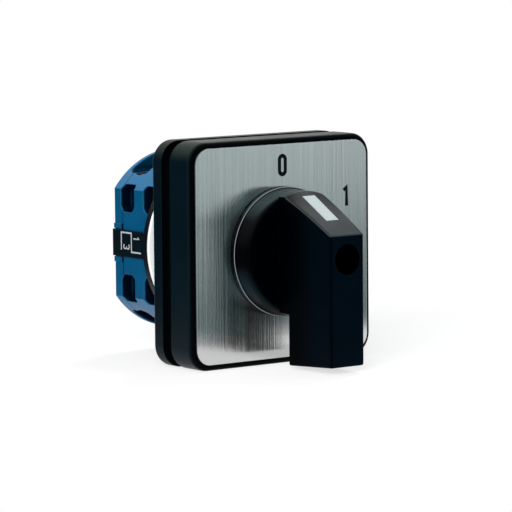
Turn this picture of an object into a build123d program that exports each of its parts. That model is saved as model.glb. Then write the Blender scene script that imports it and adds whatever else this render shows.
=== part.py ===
"""Rotary cam switch: a square front plate with a grip handle, and a two-layer contact stage behind the panel.

The switch turns about the Y axis. Its front faces -Y, the panel's front lies in the plane y = 0,
and the 0 of the dial is at the top, +Z. All sizes are in millimetres and degrees.
"""
import os
from math import cos, hypot, radians, sin, sqrt, tan

from build123d import *

os.makedirs("parts", exist_ok=True)

# Front plate stack: mounting plate, gasket, bezel and dial
front_size = 48.0
front_corner_r = 4.7
rear_plate_t = 3.5
rear_plate_edge_r = 0.8
gasket_t = 3.0
gasket_inset = 1.4
gasket_width = 6.0
bezel_depth = 6.8
bezel_wall = 2.0
bezel_edge_r = 0.8
bezel_rim = 1.3
dial_t = 1.5
dial_proud = 0.6
dial_edge_r = 0.15
seat_gap = 0.1
fixing_edge = 6.0
fixing_hole_d = 4.4
fixing_head_d = 7.6
peg_d = 3.0
peg_engagement = 2.6

# Shaft and its bearing in the mounting plate
shaft_d = 8.0
shaft_square = 5.5
shaft_collar_d = 10.4
shaft_collar_t = 0.6
shaft_tip_d = 4.0
shaft_tip_l = 2.0
bearing_wall = 2.0
bearing_gap = 0.05
shaft_play = 0.3
square_gap = 0.03
shaft_hole_gap = 0.4

# Handle
handle_gap = 0.3
rim_d = 27.5
rim_h = 0.8
rim_lip = 0.35
base_draft = 1.9
base_h = 5.5
base_edge_r = 1.2
blade_w = 10.4
blade_draft = 3.0
blade_reach = 21.9
blade_low = 23.3
blade_edge_r = 0.5
overhang_lift = 8.5
shoulder_lift = 7.4
slope_front_z = 5.1
slope_front_crown = 0.04
slope_middle_crown = 0.25
slope_edge_r = 0.4
insert_l = 9.4
insert_w = 3.2
insert_t = 1.2
insert_from_front = 5.5
socket_depth = 9.0
screw_web = 2.0
screw_well_d = 6.0
screw_head_d = 5.4
screw_head_h = 2.0
screw_d = 3.0
screw_grip = 4.0
screw_slot_w = 0.8
hub_d = 12.0
skirt_wall = 1.7
skirt_depth = 3.2

# Latch: star wheel, leaf springs and stops in a round cup
latch_d = 33.0
latch_depth = 7.8
latch_floor = 1.5
latch_wall = 0.7
star_room = 2.4
star_end_gap = 0.8
star_positions = 6
detent_room = 1.6
detent_nose_r = 1.1
detent_leaf_t = 0.35
detent_leaf_w = 3.6
detent_end_angle = 30.0
detent_gap = 0.075
wall_touch = 0.03
lug_angle = 300.0
lug_half = 12.0
lug_gap = 0.4
stop_width = 12.0
stop_margin = 1.0
turn = 60.0

# Contact stage: insulating disc, front flange, blue housing and rear cover
disc_inset = 0.3
disc_t = 0.7
disc_hole_d = 10.0
flange_inset = 0.1
flange_t = 1.3
spigot_t = 0.8
stage_flats = 31.6
stage_depth = 12.0
partition_t = 1.6
rear_cover_t = 3.0
rear_rim_t = 1.0
screw_floor_t = 1.9
rib_half = 1.4
rib_fillet_r = 0.9
contact_from_seam = 2.3
side_wall = 2.6
corner_wall = 1.1
chamber_low = 6.1
guide_gap = 0.1
guide_w = 1.6
guide_h = 1.8
entry_w = 5.1
entry_overlap = 0.8
entry_sill = 0.7
entry_lintel = 0.3
entry_corner_r = 0.7
entry_round_r = 1.6

# Cams, plungers, contact bars and springs
cam_high = 6.4
cam_stroke = 1.5
cam_t = 4.2
cam_bore_gap = 0.9
cam_dwell = 10.0
cam_spans = 8
half_turn = 180.0
follower_gap = 0.1
plunger_w = 4.4
plunger_d = 3.6
plunger_nose_r = 0.8
plunger_waist = 0.1
spigot_d = 2.0
spigot_h = 1.4
bar_d = 3.0
bar_t = 0.8
bar_end = 0.2
tip_d = 2.2
tip_h = 0.5
tip_inset = 0.1
contact_gap = 0.05
spring_coil_d = 4.0
spring_wire = 0.45
spring_turns = 3
spring_room = 2.75
spring_well_w = 5.8
spring_well_depth = 0.8

# Terminals, their screws and the tie bolts
terminal_w = 4.2
terminal_t = 0.8
terminal_gap = 0.1
terminal_end_gap = 0.2
guide_to_terminal = 0.5
bar_to_clamp = 0.5
clamp_screw_d = 3.0
clamp_head_d = 4.6
clamp_head_h = 1.4
clamp_head_sunk = 1.5
clamp_gap = 0.2
thread_gap = 0.05
tie_bolt_d = 3.0
tie_bolt_edge = 3.5
tie_bolt_grip = 2.5
tie_head_d = 5.0
tie_head_h = 1.8
tie_head_sunk = 2.0
tie_gap = 0.1

# Label strips and the lips beside them
strip_w = 5.8
strip_t = 0.5
strip_hook = 1.4
strip_edge_r = 0.4
lip_w = 1.1
lip_proud = 0.3
lip_gap = 0.2

# Places along the axis, from the dial to the rear
y_gasket = -rear_plate_t
y_bezel = y_gasket - gasket_t
y_rim = y_bezel - bezel_depth
y_dial = y_rim - dial_proud
y_seat = y_dial + dial_t
y_bezel_inside = y_seat + bezel_wall
y_handle = y_dial - handle_gap
y_base_top = y_dial - base_h
y_shoulder = y_dial - shoulder_lift
y_overhang = y_dial - overhang_lift
y_blade = y_dial - blade_reach
y_socket = y_handle - socket_depth
y_screw_seat = y_socket - screw_web
y_disc = latch_depth
y_flange = y_disc + disc_t
y_spigot = y_flange + flange_t
y_stage = y_spigot + spigot_t
y_rear_cover = y_stage + stage_depth
y_rear = y_rear_cover + rear_cover_t
y_collar = latch_floor + shaft_play
y_star = y_collar + shaft_collar_t
y_star_end = y_disc - star_end_gap
y_tip = y_rear_cover - shaft_play

# Front plate and handle, across the axis
dial_size = front_size - 2 * bezel_rim
dial_corner_r = front_corner_r - bezel_rim
fixing_pitch = front_size - 2 * fixing_edge
gasket_size = front_size - 2 * gasket_inset
peg_r = (gasket_size - gasket_width) / 2
base_r = rim_d / 2 - rim_lip
base_top_r = base_r - (base_h - handle_gap - rim_h) * tan(radians(base_draft))

# Contact stage across the axis: its height follows from the cams and the contacts' stroke
terminal_z = chamber_low + terminal_gap
tip_z = terminal_z + terminal_t + tip_h
bar_z = tip_z + contact_gap + cam_stroke + tip_h
chamber_high = bar_z + bar_t + spring_room
spring_well_z = chamber_high + spring_well_depth
screw_floor_z = chamber_high + screw_floor_t
nose_z = cam_high + follower_gap
chamber_x = stage_flats / 2 - side_wall
stage_d = 2 * (hypot(chamber_x, chamber_high) + corner_wall)
guide_x = plunger_w / 2 + guide_gap
terminal_inner_x = guide_x + guide_w + guide_to_terminal
terminal_outer_x = chamber_x - terminal_end_gap
tip_x = terminal_inner_x + tip_inset + tip_d / 2
bar_l = 2 * tip_x + tip_d + 2 * bar_end
terminal_back_x = bar_l / 2 + bar_to_clamp
clamp_screw_x = (terminal_back_x + terminal_t + terminal_outer_x) / 2
layer_depth = (stage_depth - partition_t) / 2
y_partition = y_stage + stage_depth / 2
layers = {"front": y_stage + contact_from_seam, "rear": y_rear_cover - contact_from_seam}
sides = {"top": 1, "bottom": -1}

# Latch across the axis, inside the tie bolts
tie_bolt_x = stage_flats / 2 - tie_bolt_edge
latch_cavity_r = tie_bolt_x - tie_bolt_d / 2 - tie_gap - latch_wall
star_r = latch_cavity_r - star_room
detent_nose_x = latch_cavity_r - detent_room
shaft_hole_r = hypot(shaft_square, shaft_square) / 2 + shaft_hole_gap


def at(y):
    """Plane across the axis at a depth y, its normal to the front, x to the right and z up."""
    return Plane.XZ.offset(-y)


def sector(inner_r, outer_r, centre, half):
    """Ring segment about the axis, added to the open sketch."""
    with BuildLine() as outline:
        inner = CenterArc((0, 0), inner_r, centre - half, 2 * half)
        outer = CenterArc((0, 0), outer_r, centre - half, 2 * half)
        Line(inner @ 0, outer @ 0)
        Line(inner @ 1, outer @ 1)
    make_face(outline.edges())


def stage_outline():
    """Round outline of the stage with a flat on the left and right, added to the open sketch."""
    Circle(stage_d / 2)
    Rectangle(stage_flats, stage_d, mode=Mode.INTERSECT)


def cut_wire_entries(names):
    """Cuts the wire entries of the named layers into the open part, from the flats to the chambers.

    Seen from the side, the corner of an entry by the partition and away from the axis is the tightest.
    """
    radii = [entry_round_r, entry_round_r, entry_corner_r, entry_round_r]
    for layer in names:
        toward_cover = -1 if layer == "front" else 1
        seam = y_stage if layer == "front" else y_rear_cover
        outer = seam + toward_cover * entry_overlap
        inner = outer - toward_cover * entry_w
        for side in sides.values():
            low = side * (chamber_low + entry_sill)
            high = side * (chamber_high - entry_lintel)
            for hand in (-1, 1):
                with BuildSketch(Plane.YZ.offset(hand * chamber_x)) as entry:
                    with BuildLine():
                        corners = [(outer, low), (inner, low), (inner, high), (outer, high)]
                        FilletPolyline(*corners, radius=radii, close=True)
                    make_face()
                extrude(entry.sketch, amount=hand * stage_d, mode=Mode.SUBTRACT)


def cut_screw_pockets(y_wall, y_open):
    """Cuts the pockets above and below from which the terminal screws are reached, rounded at their wall."""
    for side in sides.values():
        low = side * screw_floor_z
        high = side * stage_d
        with BuildSketch(Plane.YZ) as pocket:
            with BuildLine():
                FilletPolyline((y_wall, high), (y_wall, low), (y_open, low), radius=rib_fillet_r)
                Polyline((y_open, low), (y_open, high), (y_wall, high))
            make_face()
        extrude(pocket.sketch, amount=stage_d, both=True, mode=Mode.SUBTRACT)


# Mounting plate with the shaft's bearing tube and the four fixing holes
with BuildPart() as rear_plate:
    with BuildSketch(at(0)):
        RectangleRounded(front_size, front_size, front_corner_r)
    extrude(amount=rear_plate_t)
    fillet(rear_plate.faces().sort_by(Axis.Y)[-1].outer_wire().edges(), rear_plate_edge_r)
    with BuildSketch(at(y_gasket)):
        Circle(shaft_d / 2 + bearing_gap + bearing_wall)
    extrude(amount=y_gasket - y_dial - handle_gap)
    with BuildSketch(at(0)):
        Circle(shaft_d / 2 + bearing_gap)
        with GridLocations(fixing_pitch, fixing_pitch, 2, 2):
            Circle(fixing_hole_d / 2)
    extrude(amount=-y_dial, mode=Mode.SUBTRACT)
    with BuildSketch(at(y_gasket)):
        with PolarLocations(peg_r, 4):
            Circle(peg_d / 2)
    extrude(amount=-peg_engagement, mode=Mode.SUBTRACT)
    with BuildSketch(at(0)):
        with PolarLocations(tie_bolt_x, 2):
            Circle(tie_bolt_d / 2)
    extrude(amount=tie_bolt_grip, mode=Mode.SUBTRACT)
rear_plate.part.label = "rear_plate"
export_step(rear_plate.part, "parts/rear_plate.step")

# Gasket in the groove, open in the middle, with room for the fixing screws' heads
with BuildPart() as gasket:
    gasket_opening = gasket_size - 2 * gasket_width
    with BuildSketch(at(y_gasket)):
        RectangleRounded(gasket_size, gasket_size, front_corner_r - gasket_inset)
        Rectangle(gasket_opening, gasket_opening, mode=Mode.SUBTRACT)
        with GridLocations(fixing_pitch, fixing_pitch, 2, 2):
            Circle(fixing_head_d / 2, mode=Mode.SUBTRACT)
        with PolarLocations(peg_r, 4):
            Circle(peg_d / 2 + seat_gap, mode=Mode.SUBTRACT)
    extrude(amount=gasket_t)
gasket.part.label = "gasket"
export_step(gasket.part, "parts/gasket.step")

# Bezel: a cap with a rounded front edge, a sunk seat for the dial and four pegs into the mounting plate
with BuildPart() as bezel:
    with BuildSketch(at(y_bezel)):
        RectangleRounded(front_size, front_size, front_corner_r)
    extrude(amount=bezel_depth)
    fillet(bezel.faces().sort_by(Axis.Y)[0].edges(), bezel_edge_r)
    with BuildSketch(at(y_seat)):
        seat_size = dial_size + 2 * seat_gap
        RectangleRounded(seat_size, seat_size, dial_corner_r + seat_gap)
    extrude(amount=bezel_depth, mode=Mode.SUBTRACT)
    with BuildSketch(at(y_bezel)):
        inside = front_size - 2 * bezel_wall
        RectangleRounded(inside, inside, front_corner_r - bezel_wall)
    extrude(amount=y_bezel - y_bezel_inside, mode=Mode.SUBTRACT)
    with BuildSketch(at(y_bezel_inside)):
        Circle(shaft_d / 2 + bearing_gap + bearing_wall + seat_gap)
    extrude(amount=bezel_wall, mode=Mode.SUBTRACT)
    with BuildSketch(at(y_gasket + peg_engagement - seat_gap)):
        with PolarLocations(peg_r, 4):
            Circle(peg_d / 2)
    extrude(until=Until.NEXT)
bezel.part.label = "bezel"
export_step(bezel.part, "parts/bezel.step")

# Dial plate with a rounded front edge, standing a little proud of the bezel's rim
with BuildPart() as face_plate:
    with BuildSketch(at(y_seat)):
        RectangleRounded(dial_size, dial_size, dial_corner_r)
        Circle(shaft_d / 2 + bearing_gap + bearing_wall + seat_gap, mode=Mode.SUBTRACT)
    extrude(amount=dial_t)
    fillet(face_plate.faces().sort_by(Axis.Y)[0].outer_wire().edges(), dial_edge_r)
face_plate.part.label = "face_plate"
export_step(face_plate.part, "parts/face_plate.step")

# The handle's slope runs straight from its front edge to the shoulder, seen from the side
slope_front = Vector(y_blade, slope_front_z)
slope_shoulder = Vector(y_shoulder, base_top_r)
slope_along = (slope_shoulder - slope_front).normalized()
slope_down = Vector(slope_along.Y, -slope_along.X)


def slope_strip(start, end, above, below):
    """Strip along the slope between two distances from its front edge, seen from the side."""
    runs = [(start, -above), (end, -above), (end, below), (start, below)]
    corners = [slope_front + slope_along * run + slope_down * depth for run, depth in runs]
    with BuildSketch(Plane.YZ) as strip:
        with BuildLine():
            Polyline(*corners, close=True)
        make_face()
    return strip.sketch


# Blade of the handle: drafted toward its front face, its slope straight at the front edge and crowned
# toward the shoulder, where it meets the base's round
with BuildPart() as blade:
    blade_top = base_top_r + slope_front_z
    draft = (y_base_top - y_blade) * tan(radians(blade_draft))
    half_w = blade_w / 2
    with BuildSketch(Plane.XY.offset(-blade_low)):
        with BuildLine():
            Polyline(
                (-half_w, y_base_top),
                (half_w, y_base_top),
                (half_w - draft, y_blade),
                (-half_w + draft, y_blade),
                close=True,
            )
        make_face()
    extrude(amount=blade_low + blade_top)
    with BuildSketch(Plane.YZ):
        with BuildLine():
            Polyline(
                (y_base_top, -blade_low),
                (y_blade, -blade_low + draft),
                (y_blade, blade_top),
                (y_base_top, blade_top),
                close=True,
            )
        make_face()
    extrude(amount=blade_w, both=True, mode=Mode.INTERSECT)
    front_edges = blade.faces().sort_by(Axis.Y)[0].edges()
    lower_edges = blade.faces().sort_by(Axis.Z)[0].edges().filter_by(Axis.X, reverse=True)
    fillet(front_edges + lower_edges, blade_edge_r)
    for half, depth in ((1, y_base_top - y_shoulder), (-1, y_base_top - y_overhang)):
        with BuildSketch(at(y_base_top)):
            with Locations((0, half * front_size / 2)):
                Rectangle(front_size, front_size)
            Circle(base_top_r, mode=Mode.SUBTRACT)
        extrude(amount=depth, mode=Mode.SUBTRACT)
    slope_sections = [
        (slope_front, slope_front_crown),
        ((slope_front + slope_shoulder) / 2, slope_middle_crown),
        (slope_shoulder, base_top_r - sqrt(base_top_r**2 - half_w**2)),
    ]
    for place, crown in slope_sections:
        with BuildSketch(at(place.X)):
            with BuildLine():
                edge_z = place.Y - crown
                high_z = 2 * blade_top
                ThreePointArc((-half_w, edge_z), (0, place.Y), (half_w, edge_z))
                Polyline((half_w, edge_z), (half_w, high_z), (-half_w, high_z), (-half_w, edge_z))
            make_face()
    loft(mode=Mode.SUBTRACT)
    slope_face = blade.faces().filter_by(GeomType.BSPLINE).sort_by(Axis.Z)[-1]
    fillet(slope_face.edges().filter_by(GeomType.CIRCLE, reverse=True), slope_edge_r)

# Handle: the blade on a turned base with a lip at the dial, the blade's lower end overhanging the base
with BuildPart() as handle:
    with BuildSketch(Plane.XY):
        with BuildLine():
            Polyline(
                (0, y_handle),
                (rim_d / 2, y_handle),
                (rim_d / 2, y_handle - rim_h),
                (base_r, y_handle - rim_h),
                (base_top_r, y_base_top),
                (0, y_base_top),
                close=True,
            )
        make_face()
    revolve(axis=Axis.Y)
    fillet(handle.edges().filter_by(GeomType.CIRCLE).group_by(Axis.Y)[0], base_edge_r)
    add(blade.part)
    extrude(
        slope_strip(insert_from_front, insert_from_front + insert_l, insert_t, insert_t),
        amount=insert_w / 2 + seat_gap / 2,
        both=True,
        mode=Mode.SUBTRACT,
    )
    with BuildSketch(at(y_blade)):
        Circle(screw_well_d / 2)
    extrude(amount=y_blade - y_screw_seat, mode=Mode.SUBTRACT)
    with BuildSketch(at(y_handle)):
        Circle(base_r - skirt_wall)
        Circle(hub_d / 2, mode=Mode.SUBTRACT)
    extrude(amount=skirt_depth, mode=Mode.SUBTRACT)
    with BuildSketch(at(y_handle)):
        Rectangle(shaft_square + 2 * square_gap, shaft_square + 2 * square_gap)
    extrude(amount=socket_depth, mode=Mode.SUBTRACT)
    with BuildSketch(at(y_socket)):
        Circle(screw_d / 2 + seat_gap)
    extrude(amount=screw_web, mode=Mode.SUBTRACT)
handle.part.label = "handle"
export_step(handle.part, "parts/handle.step")

# White marker let into the slope
with BuildPart() as indicator_insert:
    insert_start = insert_from_front + seat_gap / 2
    insert_end = insert_from_front + insert_l - seat_gap / 2
    extrude(slope_strip(insert_start, insert_end, 0, insert_t), amount=insert_w / 2, both=True)
indicator_insert.part.label = "indicator_insert"
export_step(indicator_insert.part, "parts/indicator_insert.step")

# Handle screw with a slotted cheese head at the bottom of its well
with BuildPart() as handle_screw:
    with BuildSketch(at(y_screw_seat)):
        Circle(screw_head_d / 2)
    extrude(amount=screw_head_h)
    with BuildSketch(at(y_screw_seat)):
        Circle(screw_d / 2)
    extrude(amount=-screw_web - screw_grip)
    with BuildSketch(at(y_screw_seat - screw_head_h)):
        Rectangle(screw_head_d, screw_slot_w)
    extrude(amount=-screw_head_h / 2, mode=Mode.SUBTRACT)
handle_screw.part.label = "handle_screw"
export_step(handle_screw.part, "parts/handle_screw.step")

# Shaft: square in the handle, round in its bearing, a collar behind it, square through the latch and the cams
with BuildPart() as shaft:
    with BuildSketch(at(y_handle)):
        Rectangle(shaft_square, shaft_square)
    extrude(amount=socket_depth - seat_gap)
    with BuildSketch(at(y_collar)):
        Circle(shaft_d / 2)
    extrude(amount=y_collar - y_handle)
    with BuildSketch(at(y_star)):
        Circle(shaft_collar_d / 2)
    extrude(amount=shaft_collar_t)
    with BuildSketch(at(y_tip)):
        Rectangle(shaft_square, shaft_square)
    extrude(amount=y_tip - y_star)
    with BuildSketch(at(y_tip + shaft_tip_l)):
        Circle(shaft_tip_d / 2)
    extrude(amount=shaft_tip_l)
    with BuildSketch(at(y_handle - socket_depth + seat_gap)):
        Circle(screw_d / 2 + thread_gap)
    extrude(amount=-screw_grip - seat_gap, mode=Mode.SUBTRACT)
shaft.part.label = "shaft"
export_step(shaft.part, "parts/shaft.step")

# Latch cup with the two end stops
with BuildPart() as latch_housing:
    with BuildSketch(at(latch_depth)):
        Circle(latch_d / 2)
    extrude(amount=latch_depth)
    with BuildSketch(at(latch_depth)):
        Circle(latch_cavity_r)
    extrude(amount=latch_depth - latch_floor, mode=Mode.SUBTRACT)
    stop_inner_r = star_r + lug_gap
    stop_outer_r = latch_cavity_r + lug_gap
    stop_from_lug = lug_half + stop_margin + stop_width / 2
    with BuildSketch(at(latch_depth)):
        sector(stop_inner_r, stop_outer_r, lug_angle + stop_from_lug, stop_width / 2)
        sector(stop_inner_r, stop_outer_r, lug_angle - turn - stop_from_lug, stop_width / 2)
    extrude(amount=latch_depth - latch_floor)
    with BuildSketch(at(latch_depth)):
        Circle(shaft_d / 2 + shaft_hole_gap)
        with PolarLocations(tie_bolt_x, 2):
            Circle(tie_bolt_d / 2 + tie_gap)
    extrude(amount=latch_depth, mode=Mode.SUBTRACT)
latch_housing.part.label = "latch_housing"
export_step(latch_housing.part, "parts/latch_housing.step")

# Star wheel: a rounded notch for each position, and the stop lug in place of one of them
with BuildPart() as star_wheel:
    with BuildSketch(at(y_star_end)):
        Circle(star_r)
        with PolarLocations(detent_nose_x, star_positions):
            Circle(detent_nose_r + detent_leaf_t / 2 + detent_gap, mode=Mode.SUBTRACT)
        sector(star_r - detent_nose_r, latch_cavity_r - lug_gap, lug_angle, lug_half)
        Rectangle(shaft_square + 2 * square_gap, shaft_square + 2 * square_gap, mode=Mode.SUBTRACT)
    extrude(amount=y_star_end - y_star)
star_wheel.part.label = "star_wheel"
export_step(star_wheel.part, "parts/star_wheel.step")

# Detent leaf springs: a straight leaf across the cup with a rounded nose in a notch
for hand, spring_name in ((-1, "detent_spring_left"), (1, "detent_spring_right")):
    with BuildPart() as detent_spring:
        with BuildSketch(at((y_star + y_star_end) / 2)):
            with BuildLine() as leaf:
                end_r = latch_cavity_r - detent_leaf_t / 2 - wall_touch
                end_x = hand * end_r * cos(radians(detent_end_angle))
                end_z = end_r * sin(radians(detent_end_angle))
                nose_x = hand * detent_nose_x
                Line((end_x, end_z), (nose_x, detent_nose_r))
                ThreePointArc(
                    (nose_x, detent_nose_r),
                    (nose_x - hand * detent_nose_r, 0),
                    (nose_x, -detent_nose_r),
                )
                Line((nose_x, -detent_nose_r), (end_x, -end_z))
            trace(leaf.line, line_width=detent_leaf_t)
        extrude(amount=detent_leaf_w / 2, both=True)
    detent_spring.part.label = spring_name
    export_step(detent_spring.part, f"parts/{spring_name}.step")

# White insulating disc between the latch and the live stage
with BuildPart() as insulating_disc:
    with BuildSketch(at(y_flange)):
        Circle(stage_d / 2 - disc_inset)
        Circle(disc_hole_d / 2, mode=Mode.SUBTRACT)
        with PolarLocations(tie_bolt_x, 2):
            Circle(tie_bolt_d / 2 + tie_gap, mode=Mode.SUBTRACT)
    extrude(amount=disc_t)
insulating_disc.part.label = "insulating_disc"
export_step(insulating_disc.part, "parts/insulating_disc.step")

# Black front cover: a round flange, and a spigot with the stage's flats
with BuildPart() as front_cover:
    with BuildSketch(at(y_spigot)):
        Circle(stage_d / 2 - flange_inset)
    extrude(amount=flange_t)
    with BuildSketch(at(y_stage)):
        stage_outline()
    extrude(amount=spigot_t)
    cut_wire_entries(["front"])
    with BuildSketch(at(y_stage)):
        Circle(shaft_hole_r)
        with PolarLocations(tie_bolt_x, 2):
            Circle(tie_bolt_d / 2 + tie_gap)
    extrude(amount=spigot_t + flange_t, mode=Mode.SUBTRACT)
front_cover.part.label = "front_cover"
export_step(front_cover.part, "parts/front_cover.step")

# Blue contact housing: two layers of chambers, back to back on a partition
with BuildPart() as contact_stage:
    with BuildSketch(at(y_rear_cover)):
        stage_outline()
    extrude(amount=stage_depth)
    for face_y, inward in ((y_stage, -1), (y_rear_cover, 1)):
        with BuildSketch(at(face_y)):
            chamber_z = (chamber_low + chamber_high) / 2
            with Locations((0, chamber_z), (0, -chamber_z)):
                Rectangle(2 * chamber_x, chamber_high - chamber_low)
            well_z = chamber_high + spring_well_depth / 2
            with Locations((0, well_z), (0, -well_z)):
                Rectangle(spring_well_w, spring_well_depth)
            post_x = guide_x + guide_w / 2
            post_z = chamber_low + guide_h / 2
            with GridLocations(2 * post_x, 2 * post_z, 2, 2):
                Rectangle(guide_w, guide_h, mode=Mode.SUBTRACT)
            Circle(cam_high + cam_bore_gap)
        extrude(amount=inward * layer_depth, mode=Mode.SUBTRACT)
    with BuildSketch(at(y_rear_cover)):
        Circle(shaft_hole_r)
        with PolarLocations(tie_bolt_x, 2):
            Circle(tie_bolt_d / 2 + tie_gap)
    extrude(amount=stage_depth, mode=Mode.SUBTRACT)
    cut_screw_pockets(y_partition - rib_half, y_stage)
    cut_screw_pockets(y_partition + rib_half, y_rear_cover)
    cut_wire_entries(layers)
    for side in sides.values():
        floor = Plane((0, 0, side * screw_floor_z), x_dir=(1, 0, 0), z_dir=(0, 0, side))
        for layer_y in layers.values():
            with BuildSketch(floor):
                with Locations((clamp_screw_x, side * layer_y), (-clamp_screw_x, side * layer_y)):
                    Circle(clamp_head_d / 2 + clamp_gap)
            extrude(amount=-clamp_head_sunk, mode=Mode.SUBTRACT)
            with BuildSketch(floor):
                with Locations((clamp_screw_x, side * layer_y), (-clamp_screw_x, side * layer_y)):
                    Circle(clamp_screw_d / 2 + clamp_gap)
            extrude(amount=-screw_floor_t, mode=Mode.SUBTRACT)
contact_stage.part.label = "contact_stage"
export_step(contact_stage.part, "parts/contact_stage.step")

# Blue rear cover: thinned behind the screw pockets, with the shaft's rear bearing and lips beside the labels
with BuildPart() as rear_cover:
    with BuildSketch(at(y_rear)):
        stage_outline()
        lip_z = strip_w / 2 + lip_gap + lip_w / 2
        with Locations((0, lip_z), (0, -lip_z)):
            Rectangle(stage_flats + 2 * lip_proud, lip_w)
    extrude(amount=rear_cover_t)
    cut_screw_pockets(y_rear - rear_rim_t, y_rear_cover)
    cut_wire_entries(["rear"])
    with BuildSketch(at(y_rear_cover)):
        Circle(shaft_tip_d / 2 + bearing_gap)
    extrude(amount=-shaft_tip_l, mode=Mode.SUBTRACT)
    with BuildSketch(at(y_rear)):
        with PolarLocations(tie_bolt_x, 2):
            Circle(tie_bolt_d / 2 + tie_gap)
    extrude(amount=rear_cover_t, mode=Mode.SUBTRACT)
    with BuildSketch(at(y_rear)):
        with PolarLocations(tie_bolt_x, 2):
            Circle(tie_head_d / 2 + clamp_gap)
    extrude(amount=tie_head_sunk, mode=Mode.SUBTRACT)
rear_cover.part.label = "rear_cover"
export_step(rear_cover.part, "parts/rear_cover.step")

# Two tie bolts from the rear cover into the mounting plate
with BuildPart() as tie_bolts:
    with BuildSketch(at(y_rear - tie_head_sunk)):
        with PolarLocations(tie_bolt_x, 2):
            Circle(tie_bolt_d / 2)
    extrude(amount=y_rear - tie_head_sunk + tie_bolt_grip)
    with BuildSketch(at(y_rear - tie_head_sunk)):
        with PolarLocations(tie_bolt_x, 2):
            Circle(tie_head_d / 2)
    extrude(amount=-tie_head_h)
    with BuildSketch(at(y_rear - tie_head_sunk + tie_head_h)):
        with PolarLocations(tie_bolt_x, 2, rotate=False):
            Rectangle(screw_slot_w, tie_head_d)
    extrude(amount=tie_head_h / 2, mode=Mode.SUBTRACT)
tie_bolts.part.label = "tie_bolts"
export_step(tie_bolts.part, "parts/tie_bolts.step")

# Label strips on the flats, each hooked over the rear cover's edge
for hand, strip_name in ((-1, "label_strip_left"), (1, "label_strip_right")):
    with BuildPart() as label_strip:
        with BuildSketch(Plane.XY.offset(-strip_w / 2)):
            flat_x = hand * stage_flats / 2
            outer_x = flat_x + hand * strip_t
            hook_x = outer_x - hand * (strip_hook + strip_t)
            with BuildLine():
                Polyline(
                    (flat_x, y_spigot),
                    (outer_x, y_spigot),
                    (outer_x, y_rear + strip_t),
                    (hook_x, y_rear + strip_t),
                    (hook_x, y_rear),
                    (flat_x, y_rear),
                    close=True,
                )
            make_face()
        extrude(amount=strip_w)
        rear_edges = label_strip.edges().filter_by(Axis.Z).group_by(Axis.Y)[-1]
        fillet(rear_edges.sort_by(Axis.X)[0 if hand < 0 else -1], strip_edge_r)
    label_strip.part.label = strip_name
    export_step(label_strip.part, f"parts/{strip_name}.step")


def cam_radius(angle):
    """Radius of a cam at an angle past the top, the way the profile runs under a follower as it turns."""
    angle = angle % half_turn
    if angle <= turn:
        return cam_high - cam_stroke * angle / turn
    low_end = turn + cam_dwell
    high_start = half_turn - cam_dwell
    if angle <= low_end:
        return cam_high - cam_stroke
    if angle >= high_start:
        return cam_high
    rise = (angle - low_end) / (high_start - low_end)
    return cam_high - cam_stroke * (1 + cos(radians(half_turn * rise))) / 2


def cam_point(angle):
    """Point of the cam's profile at an angle past the top, as (x, z)."""
    radius = cam_radius(angle)
    return (-radius * sin(radians(angle)), radius * cos(radians(angle)))


def cam_curve(start, end):
    """Smooth stretch of the cam's profile between two angles, added to the open line."""
    Spline(*[cam_point(start + (end - start) * step / cam_spans) for step in range(cam_spans + 1)])


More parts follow.
